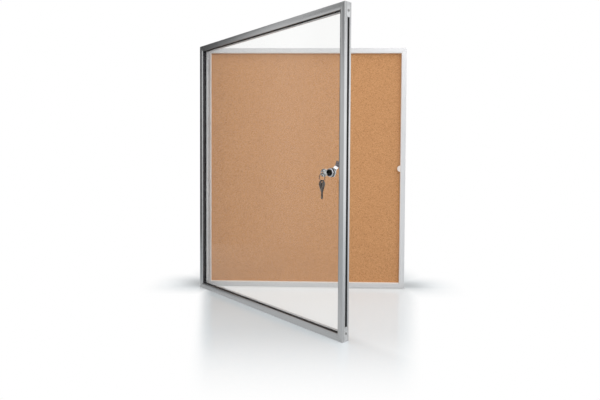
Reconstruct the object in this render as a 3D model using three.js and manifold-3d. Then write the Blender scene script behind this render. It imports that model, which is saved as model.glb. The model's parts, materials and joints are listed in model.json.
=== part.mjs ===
import * as THREE from "three";
import { mergeVertices } from "three/addons/utils/BufferGeometryUtils.js";
import Module from "manifold-3d";

// A lockable notice board, in millimetres and with +Z up. The wall is the plane y = 0, the board
// faces along -Y, and the origin is the middle of the board on the wall. Its glazed door is hinged
// on the left and stands open, with a key in its lock and a spare key hanging from the ring.

// Driving sizes
const boardWidth = 750;
const boardHeight = 900;
const caseDepth = 25;
const doorDepth = 25;
const doorSeam = 1;
const doorOpening = THREE.MathUtils.degToRad(47.6);
const lockSetback = 61;
const lockRise = 1;

// Clearances: between pieces that are seated, across a mitre, and past the face that a cut starts at
const seatGap = 0.3;
const mitreGap = 0.3;
const overrun = 1;

// Steps: an arc of an outline takes twice its number, a body of revolution its number once
const filletSteps = 2;
const headSteps = 4;
const knuckleSteps = 6;
const holeSteps = 8;
const screwSteps = 16;
const lockSteps = 32;
const ringSteps = 40;
const wireSteps = 8;
const nutSides = 6;

const caseBar = {
  face: 18.5,
  wall: 1.6,
  recess: 12,
  grooveFloor: 7,
  grooveWidth: 8.5,
  flangeReach: 14,
  flangeThickness: 2.7,
  footWidth: 2,
  edgeRound: 0.8,
};

const board = {
  corkThickness: 3,
};

const cornerKey = {
  arm: 45,
  chamfer: 3,
};

const keeper = {
  radius: 12,
  thickness: 2,
  legThickness: 1.5,
  legDepth: 10.5,
  setBack: 0.5,
  legRound: 2,
};

const hanger = {
  width: 32,
  drop: 40,
  thickness: 1.5,
  cornerRound: 5,
  setIn: 90,
  holeDrop: 29,
  holeRadius: 5,
  slotRise: 9,
  slotRadius: 2.5,
};

const hinge = {
  knuckleRadius: 2.5,
  leafThickness: 1.2,
  leafWidth: 18,
  endMargin: 50,
  knuckleCount: 21,
  knuckleGap: 0.4,
  pinRadius: 1.2,
  pinHead: 0.8,
};

const doorBar = {
  face: 19,
  flat: 13.3,
  bevelDrop: 2.4,
  lipBack: 4,
  pocketFloor: 12,
  pocketBack: 18,
  beadReach: 23.5,
  wall: 1.5,
  grooveFront: 11,
  grooveWidth: 8,
  grooveDepth: 3,
  stripSink: 1,
  stripRound: 0.5,
  edgeRound: 0.8,
};

const pane = {
  front: 12,
  thickness: 3,
};

const gasket = {
  lipSink: 0.3,
  slotFloor: 14,
};

const bracket = {
  leg: 40,
  width: 15,
  thickness: 1.7,
  screwSetback: 22,
};

const bracketScrew = {
  headRadius: 3.8,
  shankRadius: 1.6,
  headDepth: 2.2,
  length: 8,
};

const lock = {
  headFront: 8,
  headRadius: 12.2,
  headRound: 1.8,
  barrelRadius: 9.8,
  barrelBack: 24,
  plugRadius: 7.8,
  plugSink: 0.4,
  washerRadius: 13,
  washerThickness: 1,
  nutRadius: 13.8,
  nutThickness: 4.5,
};

const cam = {
  thickness: 2,
  rootRadius: 8,
  width: 13,
  reach: 33,
  crank: 5.7,
  bendStart: 12,
  bendRun: 5,
  cornerRound: 2,
  squareSide: 8.4,
  tailRadius: 4.2,
  nutRadius: 6.4,
  nutThickness: 2.8,
  tailLength: 5.9,
};
const camRestAngle = THREE.MathUtils.degToRad(69);

const key = {
  thickness: 1.8,
  bowLength: 32,
  bowWidth: 22,
  shoulderWidth: 7.6,
  holeRadius: 2.6,
  holeSetback: 4.6,
  bladeLength: 20,
  bladeWidth: 6,
  tipLength: 2.5,
  cutPitch: 3.4,
  cutDepth: 1.5,
  slotDepth: 19.8,
};
const keyCutShares = [0.5, 1, 0.35, 0.8, 0.55];
const keyTipShare = 0.35;

const ring = {
  radius: 10.5,
  wireRadius: 0.9,
};

// Depths from the case's front face, and from the door's face
const grooveBack = caseBar.recess + caseBar.grooveWidth;
const flangeBack = grooveBack + caseBar.flangeThickness;
const paneBack = pane.front + pane.thickness;
const barGrooveMiddle = doorBar.grooveFront + doorBar.grooveWidth / 2;
const lockPlugBore = lock.plugRadius + seatGap;
const plugFront = lock.headFront + lock.plugSink;
const camFront = lock.barrelBack + seatGap;
const camNutFront = camFront + cam.thickness + seatGap;
const keySlotEnd = plugFront + key.slotDepth;
const keyHoleDepth = keySlotEnd - seatGap - key.bladeLength - key.bowLength + key.holeSetback;
const ringHang = key.holeRadius - ring.wireRadius - seatGap;

const colours = {
  caseFrame: { color: 0xd9dadb, roughness: 0.45, metalness: 0.3 },
  doorFrame: { color: 0xa9abad, roughness: 0.4, metalness: 0.6 },
  cork: { color: 0xbf8c60, roughness: 0.95, metalness: 0 },
  backing: { color: 0x9c7f5f, roughness: 0.9, metalness: 0 },
  black: { color: 0x2c2c2e, roughness: 0.7, metalness: 0 },
  glazing: { color: 0xeef2f2, roughness: 0.05, metalness: 0, transparent: true, opacity: 0.25 },
  chrome: { color: 0xc8cacc, roughness: 0.15, metalness: 1 },
  steel: { color: 0x9a9c9e, roughness: 0.35, metalness: 1 },
};

const wasm = await Module();
wasm.setup();

function toSolid(geometry) {
  const bare = geometry.clone();
  bare.deleteAttribute("normal");
  bare.deleteAttribute("uv");
  const merged = mergeVertices(bare);
  const vertProperties = Float32Array.from(merged.attributes.position.array);
  const triVerts = Uint32Array.from(merged.index.array);
  return new wasm.Manifold(new wasm.Mesh({ numProp: 3, vertProperties, triVerts }));
}

function toGeometry(solid) {
  const mesh = solid.getMesh();
  const geometry = new THREE.BufferGeometry();
  geometry.setAttribute("position", new THREE.Float32BufferAttribute(mesh.vertProperties, 3));
  geometry.setIndex(Array.from(mesh.triVerts));
  geometry.computeVertexNormals();
  return geometry;
}

function cut(geometry, cutters) {
  let solid = toSolid(geometry);
  for (const cutter of cutters) {
    solid = solid.subtract(toSolid(cutter));
  }
  return toGeometry(solid);
}

function join(geometries) {
  let solid = toSolid(geometries[0]);
  for (const geometry of geometries.slice(1)) {
    solid = solid.add(toSolid(geometry));
  }
  return toGeometry(solid);
}

function common(first, second) {
  return toGeometry(toSolid(first).intersect(toSolid(second)));
}

function outline(points) {
  return new THREE.Shape(points.map(([x, y]) => new THREE.Vector2(x, y)));
}

function squareOutline(side) {
  const half = side / 2;
  return outline([[-half, -half], [half, -half], [half, half], [-half, half]]);
}

function roundedRectangle(low, high, round) {
  const shape = new THREE.Shape();
  shape.absarc(low.x + round, low.y + round, round, Math.PI, 1.5 * Math.PI);
  shape.absarc(high.x - round, low.y + round, round, 1.5 * Math.PI, 2 * Math.PI);
  shape.absarc(high.x - round, high.y - round, round, 0, 0.5 * Math.PI);
  shape.absarc(low.x + round, high.y - round, round, 0.5 * Math.PI, Math.PI);
  return shape;
}

function circularHole(x, y, radius) {
  const hole = new THREE.Path();
  hole.absarc(x, y, radius, 0, 2 * Math.PI);
  return hole;
}

function extruded(shape, depth, curveSegments = filletSteps) {
  return new THREE.ExtrudeGeometry(shape, { depth, bevelEnabled: false, curveSegments });
}

// An extrusion of an outline in x and z, from the depth y = front to y = front + depth
function extrudedBack(shape, front, depth, curveSegments = filletSteps) {
  const geometry = extruded(shape, depth, curveSegments);
  geometry.rotateX(Math.PI / 2);
  geometry.translate(0, front + depth, 0);
  return geometry;
}

// A body of revolution about the y axis, from [radius, depth] points that run anticlockwise
function revolved(points, steps) {
  return new THREE.LatheGeometry(points.map(([x, y]) => new THREE.Vector2(x, y)), steps);
}

// One side of a mitred frame, lying along X at the top of it. The section's x is the distance in
// from the frame's outer edge, and its y the depth behind the frame's front.
function mitredBar(section, length, span) {
  const geometry = extruded(section, 1);
  const place = geometry.attributes.position;
  const endGap = mitreGap / Math.SQRT2;
  for (let i = 0; i < place.count; i += 1) {
    const inward = place.getX(i);
    const side = 2 * place.getZ(i) - 1;
    place.setXYZ(i, side * (length / 2 - inward - endGap), place.getY(i), span / 2 - inward);
  }
  return geometry;
}

function named(name, geometry, finish) {
  const mesh = new THREE.Mesh(geometry, new THREE.MeshStandardMaterial(colours[finish]));
  mesh.name = name;
  return mesh;
}

// The four sides of a frame, in the order of quarter turns about Y, with their corners
const sides = [
  { name: "rail_top", turns: 0, length: boardWidth, span: boardHeight },
  { name: "stile_lock", turns: 1, length: boardHeight, span: boardWidth },
  { name: "rail_bottom", turns: 2, length: boardWidth, span: boardHeight },
  { name: "stile_hinge", turns: 3, length: boardHeight, span: boardWidth },
];
const corners = [
  { name: "top_lock", turns: 0, x: boardWidth / 2, z: boardHeight / 2 },
  { name: "bottom_lock", turns: 1, x: boardWidth / 2, z: -boardHeight / 2 },
  { name: "bottom_hinge", turns: 2, x: -boardWidth / 2, z: -boardHeight / 2 },
  { name: "top_hinge", turns: 3, x: -boardWidth / 2, z: boardHeight / 2 },
];

function addSide(group, prefix, side, geometry, finish) {
  const mesh = named(`${prefix}_${side.name}`, geometry, finish);
  mesh.rotation.y = side.turns * Math.PI / 2;
  group.add(mesh);
}

function caseSection() {
  const { face, wall, recess, grooveFloor, flangeReach, footWidth, edgeRound } = caseBar;
  const shape = new THREE.Shape();
  shape.absarc(edgeRound, edgeRound, edgeRound, Math.PI, 1.5 * Math.PI);
  shape.absarc(face - edgeRound, edgeRound, edgeRound, 1.5 * Math.PI, 2 * Math.PI);
  shape.lineTo(face, recess);
  shape.lineTo(grooveFloor, recess);
  shape.lineTo(grooveFloor, grooveBack);
  shape.lineTo(flangeReach, grooveBack);
  shape.lineTo(flangeReach, flangeBack);
  shape.lineTo(footWidth, flangeBack);
  shape.lineTo(footWidth, caseDepth);
  shape.lineTo(0, caseDepth);
  shape.holes.push(outline([
    [wall, wall],
    [face - wall, wall],
    [face - wall, recess - wall],
    [grooveFloor - wall, recess - wall],
    [grooveFloor - wall, flangeBack - wall],
    [wall, flangeBack - wall],
  ]));
  return shape;
}

// An L that joins two case bars inside their front chambers
function cornerKeyGeometry() {
  const { face, wall, recess } = caseBar;
  const outer = wall + seatGap;
  const inner = face - wall - seatGap;
  const { arm, chamfer } = cornerKey;
  const shape = outline([
    [-outer - chamfer, -outer],
    [-arm + chamfer, -outer],
    [-arm, -outer - chamfer],
    [-arm, -inner],
    [-inner, -inner],
    [-inner, -arm],
    [-outer - chamfer, -arm],
    [-outer, -arm + chamfer],
    [-outer, -outer - chamfer],
  ]);
  return extrudedBack(shape, outer, recess - outer - outer);
}

function boardGeometry(front, thickness) {
  const width = boardWidth - 2 * (caseBar.grooveFloor + seatGap);
  const height = boardHeight - 2 * (caseBar.grooveFloor + seatGap);
  const shape = outline([
    [-width / 2, -height / 2],
    [width / 2, -height / 2],
    [width / 2, height / 2],
    [-width / 2, height / 2],
  ]);
  return extrudedBack(shape, front, thickness);
}

// The keeper's half-round tongue stands in front of the display recess, on a leg that is screwed
// to the frame's inner wall, and the cam turns in behind it.
function keeperGeometry() {
  const { radius, thickness, legThickness, legDepth, setBack, legRound } = keeper;
  const tongue = new THREE.Shape();
  tongue.absarc(0, 0, radius, 0.5 * Math.PI, 1.5 * Math.PI);
  const leg = new THREE.Shape();
  leg.moveTo(-radius, 0);
  leg.lineTo(radius, 0);
  leg.absarc(radius - legRound, legDepth - legRound, legRound, 0, 0.5 * Math.PI);
  leg.absarc(legRound - radius, legDepth - legRound, legRound, 0.5 * Math.PI, Math.PI);
  const legPlate = extruded(leg, legThickness);
  legPlate.applyMatrix4(new THREE.Matrix4().makeBasis(
    new THREE.Vector3(0, 0, 1),
    new THREE.Vector3(0, 1, 0),
    new THREE.Vector3(-1, 0, 0),
  ));
  const geometry = join([extrudedBack(tongue, 0, thickness, holeSteps), legPlate]);
  geometry.translate(boardWidth / 2 - caseBar.face - seatGap, setBack, lockRise);
  return geometry;
}

// A plate behind the top rail with a keyhole for the head of a wall screw
function hangerGeometry() {
  const { width, drop, thickness, cornerRound, holeDrop, holeRadius, slotRise, slotRadius } = hanger;
  const top = -caseBar.footWidth - seatGap;
  const plate = new THREE.Shape();
  plate.moveTo(-width / 2, top);
  plate.lineTo(-width / 2, -drop + cornerRound);
  plate.absarc(-width / 2 + cornerRound, -drop + cornerRound, cornerRound, Math.PI, 1.5 * Math.PI);
  plate.absarc(width / 2 - cornerRound, -drop + cornerRound, cornerRound, 1.5 * Math.PI, 2 * Math.PI);
  plate.lineTo(width / 2, top);
  const throat = Math.asin(slotRadius / holeRadius);
  const keyhole = new THREE.Path();
  keyhole.absarc(0, -holeDrop, holeRadius, Math.PI / 2 + throat, Math.PI / 2 - throat);
  keyhole.absarc(0, slotRise - holeDrop, slotRadius, 0, Math.PI);
  plate.holes.push(keyhole);
  return extrudedBack(plate, caseDepth - thickness, thickness, holeSteps);
}

// One leaf of the continuous hinge, about the hinge's axis: towards = 1 for the leaf that lies
// along +Y on the case, and -1 for the door's. It is notched for the other leaf's knuckles.
function leafGeometry(towards, firstNotch) {
  const { knuckleRadius, leafThickness, leafWidth, endMargin, knuckleCount, knuckleGap, pinRadius } = hinge;
  const length = boardHeight - 2 * endMargin;
  const pitch = length / knuckleCount;
  const inner = knuckleRadius - leafThickness;
  const start = Math.acos(inner / knuckleRadius);
  const section = new THREE.Shape();
  section.absarc(0, 0, knuckleRadius, towards * start, towards * 2 * Math.PI, towards < 0);
  section.lineTo(knuckleRadius, towards * leafWidth);
  section.lineTo(inner, towards * leafWidth);
  section.holes.push(circularHole(0, 0, pinRadius + seatGap));
  const notches = [];
  for (let k = firstNotch; k < knuckleCount; k += 2) {
    const notch = extruded(squareOutline(2 * (knuckleRadius + seatGap)), pitch + knuckleGap);
    notch.translate(0, 0, k * pitch - knuckleGap / 2);
    notches.push(notch);
  }
  const leaf = cut(extruded(section, length, knuckleSteps), notches);
  leaf.translate(0, 0, -length / 2);
  return leaf;
}

function hingePinGeometry() {
  const { knuckleRadius, endMargin, pinRadius, pinHead } = hinge;
  const half = boardHeight / 2 - endMargin;
  const pin = revolved([
    [0, -half - pinHead],
    [knuckleRadius, -half - pinHead],
    [knuckleRadius, -half],
    [pinRadius, -half],
    [pinRadius, half],
    [knuckleRadius, half],
    [knuckleRadius, half + pinHead],
    [0, half + pinHead],
  ], screwSteps);
  pin.rotateX(Math.PI / 2);
  return pin;
}

function doorSection() {
  const { face, flat, bevelDrop, lipBack, pocketFloor, pocketBack, beadReach, wall, edgeRound } = doorBar;
  const { grooveFront, grooveWidth, grooveDepth } = doorBar;
  const sideGrooveBack = grooveFront + grooveWidth;
  const shape = new THREE.Shape();
  shape.absarc(edgeRound, edgeRound, edgeRound, Math.PI, 1.5 * Math.PI);
  shape.lineTo(flat, 0);
  shape.lineTo(face, bevelDrop);
  shape.lineTo(face, lipBack);
  shape.lineTo(pocketFloor, lipBack);
  shape.lineTo(pocketFloor, pocketBack);
  shape.lineTo(beadReach, pocketBack);
  shape.lineTo(beadReach, doorDepth);
  shape.absarc(edgeRound, doorDepth - edgeRound, edgeRound, 0.5 * Math.PI, Math.PI);
  shape.lineTo(0, sideGrooveBack);
  shape.lineTo(grooveDepth, sideGrooveBack);
  shape.lineTo(grooveDepth, grooveFront);
  shape.lineTo(0, grooveFront);
  shape.holes.push(outline([
    [wall, wall],
    [pocketFloor - wall, wall],
    [pocketFloor - wall, doorDepth - wall],
    [wall, doorDepth - wall],
    [wall, sideGrooveBack + wall],
    [grooveDepth + wall, sideGrooveBack + wall],
    [grooveDepth + wall, grooveFront - wall],
    [wall, grooveFront - wall],
  ]));
  return shape;
}

// A U section that grips the pane's edge, between the bar's front lip and the bead behind the pane
function gasketSection() {
  const { face, lipBack, pocketFloor, pocketBack } = doorBar;
  const floor = pocketFloor + seatGap;
  const lip = face - gasket.lipSink;
  return outline([
    [floor, lipBack + seatGap],
    [lip, lipBack + seatGap],
    [lip, pane.front - seatGap],
    [gasket.slotFloor, pane.front - seatGap],
    [gasket.slotFloor, paneBack + seatGap],
    [lip, paneBack + seatGap],
    [lip, pocketBack - seatGap],
    [floor, pocketBack - seatGap],
  ]);
}

// The outline of one bracket leg, with its round end at the leg's length from the corner
function legOutline(start, margin) {
  const half = bracket.width / 2 + margin;
  const shape = new THREE.Shape();
  const endMiddle = bracket.leg - bracket.width / 2;
  shape.moveTo(start, -half);
  shape.lineTo(endMiddle, -half);
  shape.absarc(endMiddle, 0, half, -0.5 * Math.PI, 0.5 * Math.PI);
  shape.lineTo(start, half);
  return shape;
}

// A countersunk screw that points along -Z, with its head flush at z = 0
function screwGeometry() {
  const { headRadius, shankRadius, headDepth, length } = bracketScrew;
  const screw = revolved([
    [0, -length],
    [shankRadius, -length],
    [shankRadius, -headDepth],
    [headRadius, 0],
    [0, 0],
  ], screwSteps);
  screw.rotateX(Math.PI / 2);
  screw.translate(-bracket.screwSetback, 0, 0);
  return screw;
}

// The hole for such a screw, open past the face that its head is flush with
function screwHole() {
  const { headRadius, shankRadius, headDepth, length } = bracketScrew;
  const hole = revolved([
    [0, -length],
    [shankRadius + seatGap, -length],
    [shankRadius + seatGap, -headDepth],
    [headRadius + seatGap, 0],
    [headRadius + seatGap, overrun],
    [0, overrun],
  ], screwSteps);
  hole.rotateX(Math.PI / 2);
  hole.translate(-bracket.screwSetback, 0, 0);
  return hole;
}

// A half turn that swaps the directions in from the corner along the rail and along the stile
const railToStile = new THREE.Matrix4().makeRotationAxis(new THREE.Vector3(1, 0, 1).normalize(), Math.PI);

// A corner bracket wraps round the door's corner, one leg on the rail and one on the stile. Its
// outer corner is at the origin, and its legs run along -X and -Z.
function bracketGeometry() {
  const railLeg = extruded(legOutline(0, 0), bracket.thickness, holeSteps);
  railLeg.rotateY(Math.PI);
  const railHole = screwHole();
  const stileLeg = railLeg.clone().applyMatrix4(railToStile);
  const stileHole = railHole.clone().applyMatrix4(railToStile);
  return cut(join([railLeg, stileLeg]), [railHole, stileHole]);
}

// A side of the door, with the seats of two brackets and their screws' holes milled into its edge
function doorBarGeometry({ length, span }) {
  const seatDepth = bracket.thickness + seatGap;
  const cutters = [];
  for (const end of [-1, 1]) {
    const seat = extruded(legOutline(-overrun, seatGap), seatDepth + overrun, holeSteps);
    if (end > 0) {
      seat.rotateY(Math.PI);
    } else {
      seat.rotateX(Math.PI);
    }
    seat.translate(end * length / 2, barGrooveMiddle, span / 2 + overrun);
    const radius = bracketScrew.shankRadius + seatGap;
    const depth = bracketScrew.length + seatGap;
    const hole = new THREE.CylinderGeometry(radius, radius, depth, screwSteps);
    hole.rotateX(Math.PI / 2);
    hole.translate(end * (length / 2 - bracket.screwSetback), barGrooveMiddle, (span - depth) / 2);
    cutters.push(seat, hole);
  }
  return cut(mitredBar(doorSection(), length, span), cutters);
}

// The filler strip in the groove of the door's edge, from bracket to bracket
function stripGeometry({ length, span }) {
  const { grooveFront, grooveWidth, grooveDepth, stripSink, stripRound } = doorBar;
  const section = roundedRectangle(
    { x: stripSink, y: grooveFront + seatGap },
    { x: grooveDepth - seatGap, y: grooveFront + grooveWidth - seatGap },
    stripRound,
  );
  const stripLength = length - 2 * (bracket.leg + seatGap);
  const strip = extruded(section, stripLength);
  strip.applyMatrix4(new THREE.Matrix4().makeBasis(
    new THREE.Vector3(0, 0, -1),
    new THREE.Vector3(0, 1, 0),
    new THREE.Vector3(1, 0, 0),
  ));
  strip.translate(-stripLength / 2, 0, span / 2);
  return strip;
}

function paneGeometry() {
  const halfWidth = boardWidth / 2 - gasket.slotFloor - seatGap;
  const halfHeight = boardHeight / 2 - gasket.slotFloor - seatGap;
  const sheet = outline([
    [-halfWidth, -halfHeight],
    [halfWidth, -halfHeight],
    [halfWidth, halfHeight],
    [-halfWidth, halfHeight],
  ]);
  sheet.holes.push(circularHole(boardWidth / 2 - lockSetback, lockRise, lock.barrelRadius + seatGap));
  return extrudedBack(sheet, pane.front, pane.thickness, lockSteps / 2);
}

// The lock's body: a chrome head in front of the pane and a barrel through it
function lockBodyGeometry() {
  const { headFront, headRadius, headRound, barrelRadius, barrelBack } = lock;
  const headBack = pane.front - seatGap;
  const points = [[lockPlugBore, headFront]];
  for (let i = 0; i <= headSteps; i += 1) {
    const turn = i / headSteps * Math.PI / 2;
    const x = headRadius - headRound + headRound * Math.sin(turn);
    points.push([x, headFront + headRound - headRound * Math.cos(turn)]);
  }
  points.push(
    [headRadius, headBack],
    [barrelRadius, headBack],
    [barrelRadius, barrelBack],
    [lockPlugBore, barrelBack],
    [lockPlugBore, headFront],
  );
  return revolved(points, lockSteps);
}

function lockWasherGeometry() {
  const front = paneBack + seatGap;
  const back = front + lock.washerThickness;
  const inner = lock.barrelRadius + seatGap;
  return revolved([
    [inner, front],
    [lock.washerRadius, front],
    [lock.washerRadius, back],
    [inner, back],
    [inner, front],
  ], lockSteps);
}

function hexagonNut(radius, bore, front, thickness) {
  const nut = outline(Array.from({ length: nutSides }, (_, i) => [
    radius * Math.cos(i / nutSides * 2 * Math.PI),
    radius * Math.sin(i / nutSides * 2 * Math.PI),
  ]));
  nut.holes.push(circularHole(0, 0, bore));
  return extrudedBack(nut, front, thickness, holeSteps);
}

// The plug turns in the body. A keyway runs up its middle, and behind the barrel it has a square
// for the cam and a round tail for the cam's nut.
function lockPlugGeometry() {
  const { plugRadius, barrelBack } = lock;
  const tailEnd = barrelBack + cam.tailLength;
  const core = revolved([
    [0, plugFront],
    [plugRadius, plugFront],
    [plugRadius, barrelBack],
    [cam.tailRadius, barrelBack],
    [cam.tailRadius, tailEnd],
    [0, tailEnd],
  ], lockSteps);
  const squareFront = barrelBack - overrun;
  const squareDepth = camFront + cam.thickness - squareFront;
  const square = extrudedBack(squareOutline(cam.squareSide), squareFront, squareDepth);
  square.rotateY(-camRestAngle);
  const halfSlot = new THREE.Vector2(key.thickness / 2 + seatGap, key.bladeWidth / 2 + seatGap);
  const slot = outline([
    [-halfSlot.x, -halfSlot.y],
    [halfSlot.x, -halfSlot.y],
    [halfSlot.x, halfSlot.y],
    [-halfSlot.x, halfSlot.y],
  ]);
  const keyway = extrudedBack(slot, plugFront - overrun, key.slotDepth + overrun);
  return cut(join([core, square]), [keyway]);
}

// The cranked cam, pointing along +X as it does when it is locked behind the keeper
function camGeometry() {
  const { thickness, rootRadius, width, reach, crank, bendStart, bendRun, cornerRound, squareSide } = cam;
  const bendEnd = bendStart + bendRun;
  const lean = thickness * Math.tan(Math.atan2(crank, bendRun) / 2);
  const edge = extruded(outline([
    [-rootRadius, camFront],
    [bendStart, camFront],
    [bendEnd, camFront + crank],
    [reach, camFront + crank],
    [reach, camFront + crank + thickness],
    [bendEnd - lean, camFront + crank + thickness],
    [bendStart - lean, camFront + thickness],
    [-rootRadius, camFront + thickness],
  ]), 2 * rootRadius);
  edge.translate(0, 0, -rootRadius);
  const armAngle = Math.asin(width / 2 / rootRadius);
  const face = new THREE.Shape();
  face.absarc(0, 0, rootRadius, armAngle, -armAngle);
  face.absarc(reach - cornerRound, cornerRound - width / 2, cornerRound, -0.5 * Math.PI, 0);
  face.absarc(reach - cornerRound, width / 2 - cornerRound, cornerRound, 0, 0.5 * Math.PI);
  const flat = extrudedBack(face, camFront - overrun, crank + thickness + 2 * overrun, holeSteps);
  const squareHole = squareOutline(squareSide + 2 * seatGap);
  const hole = extrudedBack(squareHole, camFront - overrun, thickness + 2 * overrun);
  return cut(common(edge, flat), [hole]);
}

// A flat key about the hole in its bow, with its blade along +Y and its flat sides facing X
function keyGeometry() {
  const { thickness, bowLength, bowWidth, shoulderWidth, holeSetback, holeRadius } = key;
  const { bladeLength, bladeWidth, tipLength, cutPitch, cutDepth } = key;
  const bowRadius = bowWidth / 2;
  const bowMiddle = bowRadius - holeSetback;
  const bowEnd = bowLength - holeSetback;
  const tip = bowEnd + bladeLength;
  const shoulder = new THREE.Vector2(bowEnd - bowMiddle, shoulderWidth / 2);
  const touch = shoulder.angle() + Math.acos(bowRadius / shoulder.length());
  const bladeHalf = bladeWidth / 2;
  const shape = new THREE.Shape();
  shape.absarc(bowMiddle, 0, bowRadius, touch, 2 * Math.PI - touch);
  shape.lineTo(bowEnd, -shoulder.y);
  shape.lineTo(bowEnd, -bladeHalf);
  const firstCut = tip - tipLength - keyCutShares.length * cutPitch;
  keyCutShares.forEach((share, i) => {
    shape.lineTo(firstCut + i * cutPitch, -bladeHalf);
    shape.lineTo(firstCut + (i + 0.5) * cutPitch, share * cutDepth - bladeHalf);
  });
  shape.lineTo(tip - tipLength, -bladeHalf);
  shape.lineTo(tip, -keyTipShare * bladeHalf);
  shape.lineTo(tip, keyTipShare * bladeHalf);
  shape.lineTo(tip - tipLength, bladeHalf);
  shape.lineTo(bowEnd, bladeHalf);
  shape.lineTo(bowEnd, shoulder.y);
  shape.holes.push(circularHole(0, 0, holeRadius));
  const geometry = extruded(shape, thickness, screwSteps);
  geometry.translate(0, 0, -thickness / 2);
  geometry.applyMatrix4(new THREE.Matrix4().makeBasis(
    new THREE.Vector3(0, 1, 0),
    new THREE.Vector3(0, 0, 1),
    new THREE.Vector3(1, 0, 0),
  ));
  return geometry;
}

function keyRingGeometry() {
  const loop = new THREE.TorusGeometry(ring.radius, ring.wireRadius, wireSteps, ringSteps);
  loop.rotateX(Math.PI / 2);
  return loop;
}

// The case stands with its front face at y = 0 of its own group
function buildCase() {
  const group = new THREE.Group();
  group.position.y = -caseDepth;
  for (const side of sides) {
    addSide(group, "case", side, mitredBar(caseSection(), side.length, side.span), "caseFrame");
  }
  for (const corner of corners) {
    const insert = named(`case_corner_key_${corner.name}`, cornerKeyGeometry(), "steel");
    insert.position.set(corner.x, 0, corner.z);
    insert.rotation.y = corner.turns * Math.PI / 2;
    group.add(insert);
  }
  const corkFront = caseBar.recess + seatGap;
  const backingFront = corkFront + board.corkThickness + seatGap;
  group.add(named("cork_sheet", boardGeometry(corkFront, board.corkThickness), "cork"));
  const backingThickness = grooveBack - seatGap - backingFront;
  group.add(named("backing_board", boardGeometry(backingFront, backingThickness), "backing"));
  group.add(named("keeper", keeperGeometry(), "caseFrame"));
  const hangerReach = boardWidth / 2 - hanger.setIn;
  for (const [name, x] of [["left", -hangerReach], ["right", hangerReach]]) {
    const plate = named(`wall_hanger_${name}`, hangerGeometry(), "steel");
    plate.position.set(x, 0, boardHeight / 2);
    group.add(plate);
  }
  return group;
}

// The lock, its keys and their ring, about the lock's axis
function buildLock() {
  const group = new THREE.Group();
  group.position.set(boardWidth / 2 - lockSetback, 0, lockRise);
  const nutFront = paneBack + lock.washerThickness + 2 * seatGap;
  const nutBore = lock.barrelRadius + seatGap;
  group.add(named("lock_body", lockBodyGeometry(), "chrome"));
  group.add(named("lock_washer", lockWasherGeometry(), "black"));
  group.add(named("lock_nut", hexagonNut(lock.nutRadius, nutBore, nutFront, lock.nutThickness), "steel"));
  group.add(named("lock_plug", lockPlugGeometry(), "black"));
  const arm = named("lock_cam", camGeometry(), "steel");
  arm.rotation.y = -camRestAngle;
  group.add(arm);
  const camBore = cam.tailRadius + seatGap;
  group.add(named("cam_nut", hexagonNut(cam.nutRadius, camBore, camNutFront, cam.nutThickness), "steel"));
  const inserted = named("key", keyGeometry(), "steel");
  inserted.position.y = keyHoleDepth;
  const loop = named("key_ring", keyRingGeometry(), "chrome");
  loop.position.set(0, keyHoleDepth, -ringHang - ring.radius);
  const spare = named("spare_key", keyGeometry(), "steel");
  spare.position.set(0, keyHoleDepth, -2 * (ringHang + ring.radius));
  spare.rotation.x = -Math.PI / 2;
  group.add(inserted, loop, spare);
  return group;
}

// The door stands with its face at y = 0 of its own group
function buildDoor() {
  const group = new THREE.Group();
  for (const side of sides) {
    addSide(group, "door", side, doorBarGeometry(side), "doorFrame");
    addSide(group, "gasket", side, mitredBar(gasketSection(), side.length, side.span), "black");
    if (side.name !== "stile_hinge") {
      addSide(group, "edge_strip", side, stripGeometry(side), "black");
    }
  }
  for (const corner of corners) {
    const fixed = new THREE.Group();
    fixed.position.set(corner.x, 0, corner.z);
    fixed.rotation.y = corner.turns * Math.PI / 2;
    const pieces = [
      named(`door_bracket_${corner.name}`, bracketGeometry(), "doorFrame"),
      named(`bracket_screw_${corner.name}_a`, screwGeometry(), "steel"),
      named(`bracket_screw_${corner.name}_b`, screwGeometry().applyMatrix4(railToStile), "steel"),
    ];
    for (const piece of pieces) {
      piece.position.y = barGrooveMiddle;
      fixed.add(piece);
    }
    group.add(fixed);
  }
  group.add(named("pane", paneGeometry(), "glazing"));
  group.add(buildLock());
  return group;
}

const hingeOut = hinge.knuckleRadius + seatGap;
const noticeBoard = new THREE.Group();
noticeBoard.add(buildCase());

const hingeSeat = new THREE.Group();
hingeSeat.position.set(-boardWidth / 2 - hingeOut, -caseDepth - doorSeam / 2, 0);
hingeSeat.add(named("hinge_leaf_case", leafGeometry(1, 1), "doorFrame"));
hingeSeat.add(named("hinge_pin", hingePinGeometry(), "steel"));
noticeBoard.add(hingeSeat);

const doorSwing = new THREE.Group();
doorSwing.position.copy(hingeSeat.position);
doorSwing.rotation.z = -doorOpening;
doorSwing.add(named("hinge_leaf_door", leafGeometry(-1, 0), "doorFrame"));
const door = buildDoor();
door.position.set(boardWidth / 2 + hingeOut, -doorSeam / 2 - doorDepth, 0);
doorSwing.add(door);
noticeBoard.add(doorSwing);

export default noticeBoard;
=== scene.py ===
"""A lockable notice board: a shallow cork case with a glazed door on a long hinge, a cam lock and keys."""

import json
import math

import bmesh
import bpy
from mathutils import Matrix, Vector


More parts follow.
